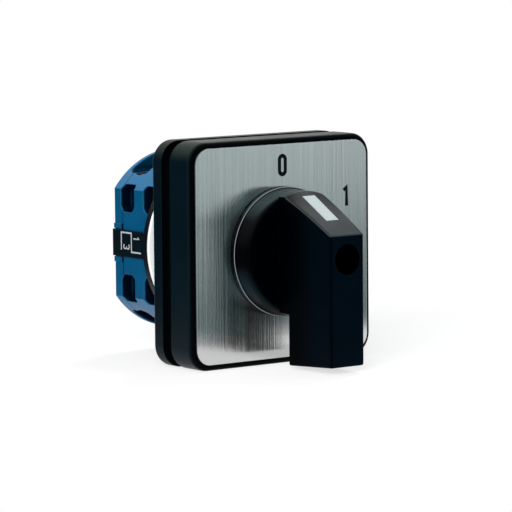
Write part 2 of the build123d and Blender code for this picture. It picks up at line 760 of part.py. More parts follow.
for layer, layer_y in layers.items():
    # Cam: on each half an even spiral falls over the turn, dwells low, and rises again to a high dwell
    with BuildPart() as cam:
        with BuildSketch(at(layer_y + cam_t / 2)):
            with BuildLine():
                for start in (0, half_turn):
                    fall_end = start + turn
                    rise_start = fall_end + cam_dwell
                    rise_end = start + half_turn - cam_dwell
                    cam_curve(start, fall_end)
                    ThreePointArc(*[cam_point(fall_end + cam_dwell * share) for share in (0, 0.5, 1)])
                    cam_curve(rise_start, rise_end)
                    ThreePointArc(*[cam_point(rise_end + cam_dwell * share) for share in (0, 0.5, 1)])
            make_face()
            Rectangle(shaft_square + 2 * square_gap, shaft_square + 2 * square_gap, mode=Mode.SUBTRACT)
        extrude(amount=cam_t)
    cam.part.label = f"cam_{layer}"
    export_step(cam.part, f"parts/cam_{layer}.step")

    # Four terminals: a strip to the fixed contact tip, and a raised clamp plate for the screw
    with BuildPart() as terminals:
        clamp_top = chamber_high - terminal_gap
        for hand in (-1, 1):
            for side in sides.values():
                corners = [
                    (terminal_outer_x, terminal_z),
                    (terminal_inner_x, terminal_z),
                    (terminal_inner_x, terminal_z + terminal_t),
                    (terminal_back_x, terminal_z + terminal_t),
                    (terminal_back_x, clamp_top),
                    (terminal_outer_x, clamp_top),
                    (terminal_outer_x, clamp_top - terminal_t),
                    (terminal_back_x + terminal_t, clamp_top - terminal_t),
                    (terminal_back_x + terminal_t, terminal_z + terminal_t),
                    (terminal_outer_x, terminal_z + terminal_t),
                ]
                with BuildSketch(at(layer_y)):
                    with BuildLine():
                        Polyline(*[(hand * x, side * z) for x, z in corners], close=True)
                    make_face()
                extrude(amount=terminal_w / 2, both=True)
                with BuildSketch(Plane.XY.offset(side * (terminal_z + terminal_t))):
                    with Locations((hand * tip_x, layer_y)):
                        Circle(tip_d / 2)
                extrude(amount=side * tip_h)
                with BuildSketch(Plane.XY.offset(side * clamp_top)):
                    with Locations((hand * clamp_screw_x, layer_y)):
                        Circle(clamp_screw_d / 2 + thread_gap)
                extrude(amount=-side * terminal_t, mode=Mode.SUBTRACT)
    terminals.part.label = f"terminals_{layer}"
    export_step(terminals.part, f"parts/terminals_{layer}.step")

    for side_name, side in sides.items():
        # Plunger: a rounded nose on the cam, a shoulder for the contact bar and a spigot for the spring
        with BuildPart() as plunger:
            nose_top = nose_z + plunger_nose_r
            with BuildSketch(at(layer_y)):
                with BuildLine():
                    half_w = plunger_w / 2
                    Polyline(
                        (plunger_nose_r, side * nose_top),
                        (half_w, side * (nose_top + plunger_waist)),
                        (half_w, side * bar_z),
                        (-half_w, side * bar_z),
                        (-half_w, side * (nose_top + plunger_waist)),
                        (-plunger_nose_r, side * nose_top),
                    )
                    ThreePointArc(
                        (-plunger_nose_r, side * nose_top),
                        (0, side * nose_z),
                        (plunger_nose_r, side * nose_top),
                    )
                make_face()
            extrude(amount=plunger_d / 2, both=True)
            with BuildSketch(Plane.XY.offset(side * bar_z)):
                with Locations((0, layer_y)):
                    Circle(spigot_d / 2)
            extrude(amount=side * spigot_h)
        plunger.part.label = f"plunger_{layer}_{side_name}"
        export_step(plunger.part, f"parts/plunger_{layer}_{side_name}.step")

        # Contact bar on the plunger's shoulder, with a tip at each end
        with BuildPart() as bridge:
            with BuildSketch(Plane.XY.offset(side * bar_z)):
                with Locations((0, layer_y)):
                    Rectangle(bar_l, bar_d)
                    Circle(spigot_d / 2 + thread_gap, mode=Mode.SUBTRACT)
            extrude(amount=side * bar_t)
            with BuildSketch(Plane.XY.offset(side * bar_z)):
                with Locations((tip_x, layer_y), (-tip_x, layer_y)):
                    Circle(tip_d / 2)
            extrude(amount=-side * tip_h)
        bridge.part.label = f"bridge_{layer}_{side_name}"
        export_step(bridge.part, f"parts/bridge_{layer}_{side_name}.step")

        # Coil spring between the contact bar and the housing's well
        with BuildPart() as spring:
            foot = bar_z + bar_t + spring_wire / 2
            rise = spring_well_z - spring_wire / 2 - foot
            with BuildLine():
                coil = Helix(
                    pitch=rise / spring_turns,
                    height=rise,
                    radius=spring_coil_d / 2,
                    center=(0, layer_y, side * foot),
                    direction=(0, 0, side),
                )
            with BuildSketch(Plane(coil @ 0, z_dir=coil % 0)):
                RegularPolygon(spring_wire / 2, 4)
            sweep(path=coil, is_frenet=True)
        spring.part.label = f"spring_{layer}_{side_name}"
        export_step(spring.part, f"parts/spring_{layer}_{side_name}.step")

# Eight slotted terminal screws, their heads sunk in the floors of the pockets
with BuildPart() as terminal_screws:
    head_seat = screw_floor_z - clamp_head_sunk
    screw_end = chamber_high - terminal_gap - terminal_t
    screw_places = [(x, y) for x in (clamp_screw_x, -clamp_screw_x) for y in layers.values()]
    for side in sides.values():
        with BuildSketch(Plane.XY.offset(side * head_seat)):
            with Locations(*screw_places):
                Circle(clamp_head_d / 2)
        extrude(amount=side * clamp_head_h)
        with BuildSketch(Plane.XY.offset(side * screw_end)):
            with Locations(*screw_places):
                Circle(clamp_screw_d / 2)
        extrude(amount=side * (head_seat - screw_end))
        with BuildSketch(Plane.XY.offset(side * (head_seat + clamp_head_h))):
            with Locations(*screw_places):
                Rectangle(clamp_head_d, screw_slot_w)
        extrude(amount=-side * clamp_head_h / 2, mode=Mode.SUBTRACT)
terminal_screws.part.label = "terminal_screws"
export_step(terminal_screws.part, "parts/terminal_screws.step")
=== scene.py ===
"""Looks of the rotary cam switch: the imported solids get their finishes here, and their print."""
from math import cos, radians, sin

import bpy
import numpy as np
from mathutils import Matrix, Vector


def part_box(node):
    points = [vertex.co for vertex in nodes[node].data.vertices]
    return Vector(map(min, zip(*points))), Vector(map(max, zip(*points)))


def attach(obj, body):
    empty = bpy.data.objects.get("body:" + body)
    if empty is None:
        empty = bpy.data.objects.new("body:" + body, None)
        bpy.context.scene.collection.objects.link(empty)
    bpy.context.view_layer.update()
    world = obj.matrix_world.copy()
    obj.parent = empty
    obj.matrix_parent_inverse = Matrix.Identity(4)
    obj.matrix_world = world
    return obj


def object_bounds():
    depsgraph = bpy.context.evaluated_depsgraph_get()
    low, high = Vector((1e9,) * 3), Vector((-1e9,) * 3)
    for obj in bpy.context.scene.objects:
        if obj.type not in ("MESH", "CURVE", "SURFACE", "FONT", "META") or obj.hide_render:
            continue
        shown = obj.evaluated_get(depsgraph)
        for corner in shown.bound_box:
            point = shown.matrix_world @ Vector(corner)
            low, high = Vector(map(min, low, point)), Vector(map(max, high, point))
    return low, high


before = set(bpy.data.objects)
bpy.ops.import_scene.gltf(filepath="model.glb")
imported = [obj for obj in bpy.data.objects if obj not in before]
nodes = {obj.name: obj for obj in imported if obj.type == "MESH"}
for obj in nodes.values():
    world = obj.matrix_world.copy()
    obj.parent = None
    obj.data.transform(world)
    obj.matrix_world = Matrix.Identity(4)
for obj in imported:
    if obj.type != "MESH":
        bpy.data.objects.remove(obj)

cad_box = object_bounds()

# Studio table: a pale matt sheet that the switch stands on by its front plate, with a soft edge into the
# background. The camera and mirrors see it a little lighter than it is lit, so that it reads as white.
scene = bpy.context.scene
scene.view_settings.view_transform = "Standard"


def add_node(tree, kind, inputs=(), **settings):
    """New shader node. Each input takes a value, or the output socket that feeds it."""
    made = tree.nodes.new(kind)
    for name, value in settings.items():
        setattr(made, name, value)
    for name, value in dict(inputs).items():
        if isinstance(value, bpy.types.NodeSocket):
            tree.links.new(value, made.inputs[name])
        else:
            made.inputs[name].default_value = value
    return made


def new_shader(name):
    """Empty material and its node tree."""
    material = bpy.data.materials.new(name)
    material.use_nodes = True
    material.node_tree.nodes.clear()
    return material, material.node_tree


def show(tree, kind, inputs):
    """Adds a shader and makes it the surface of its material."""
    shader = add_node(tree, kind, inputs)
    add_node(tree, "ShaderNodeOutputMaterial", {"Surface": shader.outputs[0]})


def reckoned(tree, operation, *values):
    """Result of a sum on numbers or sockets."""
    return add_node(tree, "ShaderNodeMath", dict(enumerate(values)), operation=operation).outputs[0]


def reckoned_vector(tree, operation, *vectors):
    """Result of a sum on vectors: a number for a length, a distance or a dot product, and else a vector."""
    made = add_node(tree, "ShaderNodeVectorMath", dict(enumerate(vectors)), operation=operation)
    return made.outputs["Value" if operation in ("LENGTH", "DISTANCE", "DOT_PRODUCT") else "Vector"]


def graded(tree, value, low, high, to_low, to_high, kind="LINEAR"):
    """A value carried from one range to another and held at the ends."""
    ends = {"Value": value, 1: low, 2: high, 3: to_low, 4: to_high}
    return add_node(tree, "ShaderNodeMapRange", ends, interpolation_type=kind).outputs[0]


def reached(tree, value, start, full, kind="LINEAR"):
    """How far a value has come from start to full: 0 up to the one, and 1 from the other on."""
    return graded(tree, value, start, full, 0.0, 1.0, kind)


def place_on(tree):
    """Place of each point, in metres in the switch's frame."""
    return add_node(tree, "ShaderNodeTexCoord").outputs["Object"]


def background_ray(tree):
    """1 for a ray that shows the background itself: from the camera, or by way of a mirror or glass."""
    path = add_node(tree, "ShaderNodeLightPath").outputs
    seen = reckoned(tree, "MAXIMUM", path["Is Camera Ray"], path["Is Glossy Ray"])
    return reckoned(tree, "MAXIMUM", seen, path["Is Transmission Ray"])


square = np.array([(-1, -1), (1, -1), (1, 1), (-1, 1)])


def stage_sheet(name, corners, material):
    """One flat face of the studio, from its four corners in turn."""
    mesh = bpy.data.meshes.new(name)
    mesh.from_pydata(corners.tolist(), [], [(0, 1, 2, 3)])
    mesh.materials.append(material)
    sheet = bpy.data.objects.new(name, mesh)
    scene.collection.objects.link(sheet)
    return sheet


table_half = 0.140
table_colour = (0.505, 0.488, 0.482, 1)
table_lift = 0.65
fade_stretch = (0.75, 1, 0)
fade_centre = (0.0075, 0, 0)
fade_start = 0.036
fade_end = 0.082
table_white, tree = new_shader("table_white")
sheet = add_node(tree, "ShaderNodeBsdfDiffuse", {"Color": table_colour})
lift = reckoned(tree, "MULTIPLY", background_ray(tree), table_lift)
glow = add_node(tree, "ShaderNodeEmission", {"Strength": lift})
lit_sheet = add_node(tree, "ShaderNodeAddShader", {0: sheet.outputs[0], 1: glow.outputs[0]})
on_table = reckoned_vector(tree, "MULTIPLY", place_on(tree), fade_stretch)
from_switch = reckoned_vector(tree, "DISTANCE", on_table, fade_centre)
fade = reached(tree, from_switch, fade_start, fade_end, "SMOOTHSTEP")
beyond = add_node(tree, "ShaderNodeBsdfTransparent")
show(tree, "ShaderNodeMixShader", {0: fade, 1: lit_sheet.outputs[0], 2: beyond.outputs[0]})
table_corners = np.column_stack([square * table_half, np.full(4, cad_box[0].z)])
stage_sheet("table", table_corners, table_white)

# Studio light: a softbox overhead, behind and to the right, which shines on every upper face, a broad main
# light from the front left that is kept out of reflections, and a dim surround.
dim_white = (0.93, 0.97, 1.0, 1)
dim_strength = 0.30
world = bpy.data.worlds.new("surround")
scene.world = world
world.use_nodes = True
tree = world.node_tree
tree.nodes.clear()
dim = add_node(tree, "ShaderNodeBackground", {"Color": dim_white, "Strength": dim_strength})
white = add_node(tree, "ShaderNodeBackground", {"Color": (1, 1, 1, 1), "Strength": 1.0})
sides = {0: background_ray(tree), 1: dim.outputs[0], 2: white.outputs[0]}
surround = add_node(tree, "ShaderNodeMixShader", sides)
add_node(tree, "ShaderNodeOutputWorld", {"Surface": surround.outputs[0]})


def softbox(name, place, side, power, colour, shines):
    """Square lamp at a place, turned to the switch. One that shines shows in glossy faces too."""
    lamp = bpy.data.lights.new(name, "AREA")
    lamp.shape = "SQUARE"
    lamp.size = side
    lamp.energy = power
    lamp.color = colour
    holder = bpy.data.objects.new(name, lamp)
    holder.visible_glossy = shines
    holder.location = place
    holder.rotation_mode = "QUATERNION"
    holder.rotation_quaternion = (-Vector(place)).to_track_quat("-Z", "Y")
    scene.collection.objects.link(holder)


softbox("overhead", (0.46, 0.24, 0.65), side=0.27, power=1.92, colour=(0.90, 1.0, 1.0), shines=True)
softbox("main_left", (-0.52, -0.45, 0.19), side=0.42, power=7.3, colour=(0.97, 0.99, 1.0), shines=False)

# Studio screens, out of the picture and seen only in reflections. A grey one across the front grades the
# brushed dial: teal on the left, pale on the right, and dark low down under a line that climbs to the right.
# A near-black one behind on the left keeps the side faces black.


def blended(tree, share, first, second, kind="RGBA"):
    """Between two colours, or two numbers where kind is FLOAT, by a share."""
    ends = {"Factor": share, "A": first, "B": second}
    return add_node(tree, "ShaderNodeMix", ends, data_type=kind).outputs["Result"]


def level_across(centre):
    """Level direction across an upright sheet at a centre, to the right as it looks at the switch."""
    return np.array([-centre[1], centre[0], 0]) / np.hypot(centre[0], centre[1])


def screen(name, centre, width, height, material):
    """Upright sheet that faces the switch and is seen only by way of a mirror.

    Its corners lie half its width along the level across it, and half its height up or down, from its centre.
    """
    aside = square[:, :1] * width / 2 * level_across(centre)
    upward = square[:, 1:] * height / 2 * np.array([0, 0, 1])
    card = stage_sheet(name, np.array(centre) + aside + upward, material)
    card.visible_camera = False
    card.visible_diffuse = False
    card.visible_shadow = False
    card.visible_transmission = False


teal_grey = (0.18, 0.29, 0.30, 1)
low_grey = (0.15, 0.20, 0.21, 1)
pale_grey = (0.725, 0.81, 0.815, 1)
near_black = (0.01, 0.01, 0.01, 1)
side_reach = 0.05
dark_below, pale_above = -0.080, -0.050
pale_climb = 0.42
front_centre = (0.12, -0.30, 0.05)
front_grey, tree = new_shader("front_screen")
rightward = level_across(front_centre)
uphill = np.array([0, 0, 1]) - pale_climb * rightward
place = place_on(tree)
level = reckoned_vector(tree, "DOT_PRODUCT", place, uphill)
to_right = reckoned_vector(tree, "DOT_PRODUCT", place, rightward)
right_half = blended(tree, reached(tree, level, dark_below, pale_above, "SMOOTHSTEP"), low_grey, pale_grey)
on_right = reached(tree, to_right, -side_reach, side_reach, "SMOOTHSTEP")
show(tree, "ShaderNodeEmission", {"Color": blended(tree, on_right, teal_grey, right_half)})
screen("front_screen", front_centre, width=0.80, height=0.60, material=front_grey)
left_black, tree = new_shader("left_screen")
show(tree, "ShaderNodeEmission", {"Color": near_black})
screen("left_screen", (-0.21, 0.28, -0.07), width=0.50, height=0.46, material=left_black)

# Camera: a long lens at about the height of the dial, from the front and the left, turned a little about its
# own axis.
camera_turn = radians(36.886)
camera_lift = radians(6.205)
camera_roll = radians(-0.514)
camera_distance = 0.7566
camera_target = Vector((0.003262, 0, -0.002425))
lens = bpy.data.cameras.new("camera")
lens.sensor_width = 36.0
lens.lens = 247.0
camera = bpy.data.objects.new("camera", lens)
view_along = Vector(
    (cos(camera_lift) * sin(camera_turn), cos(camera_lift) * cos(camera_turn), -sin(camera_lift))
)
level_right = Vector((cos(camera_turn), -sin(camera_turn), 0))
level_up = level_right.cross(view_along)
camera_right = cos(camera_roll) * level_right + sin(camera_roll) * level_up
camera_up = cos(camera_roll) * level_up - sin(camera_roll) * level_right
camera_axes = Matrix((camera_right, camera_up, -view_along)).transposed().to_4x4()
camera.matrix_world = Matrix.Translation(camera_target - camera_distance * view_along) @ camera_axes
scene.collection.objects.link(camera)
scene.camera = camera

# Front frame: the mounting plate that lies on the panel, and the bezel clipped to it with four pegs. Both are
# moulded in black glass-filled plastic with a fine grain, matt on the rim, whose front is darkened as painted
# shade, lighter and greener on top as a painted sheen, and a little polished on the edges.


def tint(colour, share):
    """A colour times a share, as a socket value."""
    return tuple(c * share for c in colour) + (1,)


def noise(tree, place, scale, detail=3.0, roughness=0.6):
    """Value of a noise of that many waves a metre."""
    settings = {"Vector": place, "Scale": scale, "Detail": detail, "Roughness": roughness}
    return add_node(tree, "ShaderNodeTexNoise", settings).outputs["Fac"]


def shelter(tree, reach):
    """1 in the open, falling toward 0 where walls within reach close a surface in."""
    return add_node(tree, "ShaderNodeAmbientOcclusion", {"Distance": reach}, samples=6).outputs["AO"]


def round_edges(tree, radius):
    """Normal of the surface as if its edges had a radius."""
    return add_node(tree, "ShaderNodeBevel", {"Radius": radius}, samples=6).outputs[0]


def outer_edges(tree, rounded, radius):
    """1 on an outer edge, and 0 on a flat face or in a corner.

    An edge is where the rounded normal parts from the face's own, and an outer one has no walls close to it.
    """
    flat_cosine, edge_cosine = 0.995, 0.80
    wall_reach = 5 * radius
    walled, in_open = 0.78, 0.96
    flat = add_node(tree, "ShaderNodeNewGeometry").outputs["Normal"]
    cosine = reckoned_vector(tree, "DOT_PRODUCT", rounded, flat)
    sharp = reached(tree, cosine, flat_cosine, edge_cosine)
    outer = reached(tree, shelter(tree, wall_reach), walled, in_open)
    return reckoned(tree, "MULTIPLY", sharp, outer)


def moulded_plastic(name, colour, edge_wear_and_highlight, roughness, specular, grain, depth, edge, paint=None):
    """Moulded plastic: grain per metre and its depth, clouds of colour and gloss, and edges of their own
    colour.

    The edge colour is partly wear by handling and partly a painted highlight. Where given, paint takes the
    tree, the place and the colour, and returns the colour with its painted shade, highlights and reflections,
    and any seam, on it, and what the shine is multiplied by there.
    """
    cloud_scale, cloud_detail, cloud_roughness = 140.0, 4.0, 0.55
    thin_cloud, thick_cloud = 0.3, 0.7
    cloud_tone = 0.20
    gloss_spread = 0.05
    edge_polish = 0.10
    grain_strength = 0.6
    material, tree = new_shader(name)
    place = place_on(tree)
    fine = noise(tree, place, grain)
    cloud = noise(tree, place, cloud_scale, cloud_detail, cloud_roughness)
    rounded = round_edges(tree, edge)
    edges = outer_edges(tree, rounded, edge)
    clouded = blended(tree, cloud, tint(colour, 1 - cloud_tone), tint(colour, 1 + cloud_tone))
    # Outer edges take the edge colour: partly wear, partly painted highlight.
    body = blended(tree, reckoned(tree, "MULTIPLY", edges, fine), clouded, tint(edge_wear_and_highlight, 1))
    gloss = graded(tree, cloud, thin_cloud, thick_cloud, roughness - gloss_spread, roughness + gloss_spread)
    polish = reckoned(tree, "MULTIPLY", edges, edge_polish)
    grained = {"Strength": grain_strength, "Distance": depth, "Height": fine, "Normal": rounded}
    finish = {
        "Base Color": body,
        "Roughness": reckoned(tree, "SUBTRACT", gloss, polish),
        "Specular IOR Level": specular,
        "Normal": add_node(tree, "ShaderNodeBump", grained).outputs[0],
    }
    if paint:
        finish["Base Color"], shine = paint(tree, place, body)
        finish["Specular IOR Level"] = reckoned(tree, "MULTIPLY", specular, shine)
    show(tree, "ShaderNodeBsdfPrincipled", finish)
    return material


def dress(material, *names):
    """Gives CAD nodes a finish by their material slots."""
    for name in names:
        for slot in nodes[name].material_slots:
            slot.material = material


def axes_of(tree, vector):
    """The X, Y and Z of a vector."""
    return add_node(tree, "ShaderNodeSeparateXYZ", {0: vector}).outputs


def facing(tree):
    """Way that the surface faces, as a vector of length 1."""
    return add_node(tree, "ShaderNodeTexCoord").outputs["Normal"]


def dimmed(tree, colour, share):
    """A colour brought down to a share of itself."""
    return blended(tree, share, (0, 0, 0, 1), colour)


rim_lean = (-0.30, -0.85)
rim_shade = 0.15
rim_shine = 0.35
sheen_lean = (0.15, 0.75)
top_sheen = (0.007, 0.0145, 0.0105, 1)


def shaded_rim(tree, place, colour):
    """Darker where the frame faces the front, as painted shade, and duller there as the mould leaves the rim;
    lighter and greener on top, as a painted sheen.
    """
    lean = axes_of(tree, facing(tree))
    front = reached(tree, lean["Y"], *rim_lean)
    # Painted sheen: faces that lean up turn a lighter green. Painted shade: the rim that faces the front
    # darkens.
    sheened = blended(tree, reached(tree, lean["Z"], *sheen_lean), colour, top_sheen)
    shade = graded(tree, front, 0.0, 1.0, 1.0, rim_shade)
    shine = graded(tree, front, 0.0, 1.0, 1.0, rim_shine)
    return dimmed(tree, sheened, shade), shine


frame_black = moulded_plastic(
    "frame_black",
    colour=(0.0011, 0.0055, 0.0090),
    edge_wear_and_highlight=(0.006, 0.012, 0.016),
    roughness=0.38,
    specular=0.07,
    grain=5200.0,
    depth=0.00004,
    edge=0.00018,
    paint=shaded_rim,
)
dress(frame_black, "rear_plate", "bezel")

# Gasket: a soft black rubber ring, moulded, and pressed between the plate and the bezel. It is set back from
# their edges, so it shows only as a dark groove.
gasket_rubber = moulded_plastic(
    "gasket_rubber",
    colour=(0.0006, 0.0008, 0.0011),
    edge_wear_and_highlight=(0.004, 0.004, 0.005),
    roughness=0.72,
    specular=0.02,
    grain=2600.0,
    depth=0.00006,
    edge=0.0003,
)
dress(gasket_rubber, "gasket")

# Dial plate: sheet aluminium brushed upright and lacquered, with its edge rolled over by the blanking tool.
# The rolled edge is a darker grey, a painted shade that holds back its highlight. The brushing blurs a
# reflection sideways, and its scratches run the whole height in fine streaks. The sheet bows back a little
# along its bottom edge, where it mirrors the table.
fine_waves = (4200.0, 60.0, 8.0)
broad_waves = (1300.0, 60.0, 4.0)
wave_detail = 2.0
mottle_ends = (0.70, 1.30)
dull_silver = (0.597, 0.608, 0.600, 1)
bright_silver = (0.612, 0.621, 0.613, 1)
dull_roughness, bright_roughness = 0.185, 0.15
groove_depth = 0.000036
bow_from, bow_to = -0.0176, -0.0230
bow_depth = 0.00024
rolled_lean = (-0.97, -0.70)
rolled_edge_shade = (0.16, 0.17, 0.17, 1)


def drawn_out(tree, place, waves, detail=3.0):
    """Noise of so many waves a metre along x, y and z, so that it runs along the axis with the fewest."""
    stretched = add_node(tree, "ShaderNodeMapping", {"Vector": place, "Scale": waves}).outputs[0]
    return noise(tree, stretched, 1.0, detail)


dial_aluminium, tree = new_shader("dial_aluminium")
place = place_on(tree)
scratches = [drawn_out(tree, place, waves, wave_detail) for waves in (fine_waves, broad_waves)]
mottle = reckoned(tree, "ADD", *scratches)
silver = blended(tree, reached(tree, mottle, *mottle_ends), dull_silver, bright_silver)
# Painted shade: the rolled edge turns a darker grey, to hold back its highlight.
rolled = reached(tree, axes_of(tree, facing(tree))["Y"], *rolled_lean)
to_edge = reached(tree, axes_of(tree, place)["Z"], bow_from, bow_to)
bow = {"Strength": 1.0, "Distance": bow_depth, "Height": reckoned(tree, "MULTIPLY", to_edge, to_edge)}
bowed = add_node(tree, "ShaderNodeBump", bow, invert=True).outputs[0]
grooves = {"Strength": 1.0, "Distance": groove_depth, "Height": mottle, "Normal": bowed}
brushed_metal = {
    "Base Color": blended(tree, rolled, silver, rolled_edge_shade),
    "Metallic": 1.0,
    "Roughness": graded(tree, mottle, *mottle_ends, dull_roughness, bright_roughness),
    "Anisotropic": 1.0,
    "Tangent": add_node(tree, "ShaderNodeTangent", direction_type="RADIAL", axis="Z").outputs[0],
    "Normal": add_node(tree, "ShaderNodeBump", grooves).outputs[0],
}
show(tree, "ShaderNodeBsdfPrincipled", brushed_metal)
dress(dial_aluminium, "face_plate")

# Dial numerals: 0 and 1, screen-printed on the dial in black ink. Each is a stroke of even width, and stands
# out by a slight build of ink.


def stroke(path, width, thickness, closed=False):
    """Flat bar carried along a path of (u, v) points, as arrays of (u, v, w) corners and of quads.

    The bar's sides lie half its width to either side of the path, along the mean normal of the two runs that
    meet at a point, lengthened so that the runs keep their width, but no further than a blunt corner reaches.
    """
    blunt = 0.72 * width
    path = np.asarray(path, float)
    count = len(path)
    runs = np.roll(path, -1, 0) - path
    runs /= np.linalg.norm(runs, axis=1, keepdims=True)
    before = np.roll(runs, 1, 0)
    after = runs.copy()
    if not closed:
        before[0] = after[0]
        after[-1] = before[-1]
    sides = np.stack([-(before + after)[:, 1], (before + after)[:, 0]], 1)
    sides /= np.linalg.norm(sides, axis=1, keepdims=True)
    normals = np.stack([-after[:, 1], after[:, 0]], 1)
    reach = np.minimum(width / 2 / (sides * normals).sum(1, keepdims=True), blunt)
    left = path + sides * reach
    right = path - sides * reach
    low = np.zeros((count, 1))
    high = np.full((count, 1), thickness)
    lines = ((left, low), (right, low), (right, high), (left, high))
    corners = np.stack([np.hstack(line) for line in lines], 1).reshape(-1, 3)
    first = np.arange(count if closed else count - 1)[:, None] * 4
    second = (first + 4) % (4 * count)
    around = np.arange(4)
    beside = (around + 1) % 4
    quads = np.stack([first + around, second + around, second + beside, first + beside], 2).reshape(-1, 4)
    if not closed:
        last = 4 * (count - 1)
        quads = np.vstack([quads, around[None], last + around[None, ::-1]])
    return corners, quads


def printed(name, strokes, origin, along, material):
    """One piece of print from strokes: from an origin, u runs along, v up and w out of the surface."""
    up = (0, 0, 1)
    axes = np.array([along, up, np.cross(along, up)], float)
    offsets = np.cumsum([0] + [len(corners) for corners, _ in strokes[:-1]])
    corners = np.vstack([corners for corners, _ in strokes]) @ axes + np.array(origin, float)
    quads = np.vstack([quads + offset for (_, quads), offset in zip(strokes, offsets)])
    mesh = bpy.data.meshes.new(name)
    mesh.from_pydata(corners.tolist(), [], quads.tolist())
    mesh.materials.append(material)
    piece = bpy.data.objects.new(name, mesh)
    scene.collection.objects.link(piece)
    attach(piece, "base")


def arc(centre, radii, start, end, steps):
    """Points round an ellipse between two angles in degrees."""
    turn = np.radians(np.linspace(start, end, steps))
    return np.array(centre) + np.column_stack([np.cos(turn) * radii[0], np.sin(turn) * radii[1]])


def ink(name, colour, roughness):
    """Printing ink: a thin film that is a little uneven in gloss and cover."""
    cover_scale = 3200.0
    thin_tone, thick_tone = 0.85, 1.10
    gloss_spread = 0.08
    film_specular = 0.05
    film_strength, film_depth = 0.3, 0.00002
    material, tree = new_shader(name)
    cover = noise(tree, place_on(tree), cover_scale)
    film = {"Strength": film_strength, "Distance": film_depth, "Height": cover}
    finish = {
        "Base Color": blended(tree, cover, tint(colour, thin_tone), tint(colour, thick_tone)),
        "Roughness": graded(tree, cover, 0.0, 1.0, roughness - gloss_spread, roughness + gloss_spread),
        "Specular IOR Level": film_specular,
        "Normal": add_node(tree, "ShaderNodeBump", film).outputs[0],
    }
    show(tree, "ShaderNodeBsdfPrincipled", finish)
    return material


black_ink = ink("black_ink", colour=(0.003, 0.0035, 0.004), roughness=0.5)
ink_build = 0.00002
numeral_stroke = 0.00086
numeral_half_h = 0.00195
zero_half_w = 0.00076
zero_bow = numeral_half_h - zero_half_w
zero_steps = 16
zero_top = arc((0, zero_bow), (zero_half_w, zero_half_w), 0, 180, zero_steps)
zero_bottom = arc((0, -zero_bow), (zero_half_w, zero_half_w), 180, 360, zero_steps)
zero_x, zero_z = 0, 0.01826
one_path = [(-0.00062, 0.00110), (0.00018, 0.00182), (0.00018, -0.00222)]
one_x, one_z = 0.01703, 0.01077
dial_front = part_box("face_plate")[0].y
zero = stroke(np.vstack([zero_top, zero_bottom]), numeral_stroke, ink_build, closed=True)
one = stroke(one_path, numeral_stroke, ink_build)
printed("dial_zero", [zero], (zero_x, dial_front, zero_z), (1, 0, 0), black_ink)
printed("dial_one", [one], (one_x, dial_front, one_z), (1, 0, 0), black_ink)

# Handle: moulded in black plastic, satin with a fine grain, and pushed on the square of the shaft. Its lip by
# the dial carries a bright ring of painted highlight, and the rounded edges of its slope a grey painted
# highlight. Its black darkens as painted shade away from the front of the blade. Its base is handled smooth,
# so it shines more than the blade, and carries painted reflections, teal on top and navy below.
lip_width = 0.00016
lip_depth = 0.00090
lip_lean = -0.6
lip_highlight = (0.24, 0.26, 0.26, 1)
slope_from_dial = 0.0072
slope_tilt = 0.80
edge_lean = (0.10, 0.35)
edge_band = 0.06
slope_edge_highlight = (0.034, 0.038, 0.039, 1)
well_reach = 0.0032
upper_lean = (0.10, 0.70)
lower_lean = (-0.10, -0.60)
face_shine = 0.35
base_shine = 3.2
under_shine = 1.3
slope_shine = 1.25
front_depth = 0.0050
back_depth = 0.0120
back_shade = 0.12
left_lean = (-0.80, -0.95)
left_shade = 0.70
corner_turn = (0.12, 0.40)
corner_shade = 0.20
top_lean = (0.55, 0.80)
base_top_reflection = (0.024, 0.037, 0.039, 1)
under_lean = (-0.15, -0.45)
bottom_lean = (-0.80, -0.62)
base_under_reflection = (0.004, 0.013, 0.019, 1)


def product(tree, first, *others):
    """Product of any number of values."""
    for value in others:
        first = reckoned(tree, "MULTIPLY", first, value)
    return first


def off_axis(tree, place):
    """Offset of a point from the switch's axis, square to it, and the length of that."""
    offset = reckoned_vector(tree, "MULTIPLY", place, (1, 0, 1))
    return offset, reckoned_vector(tree, "LENGTH", offset)


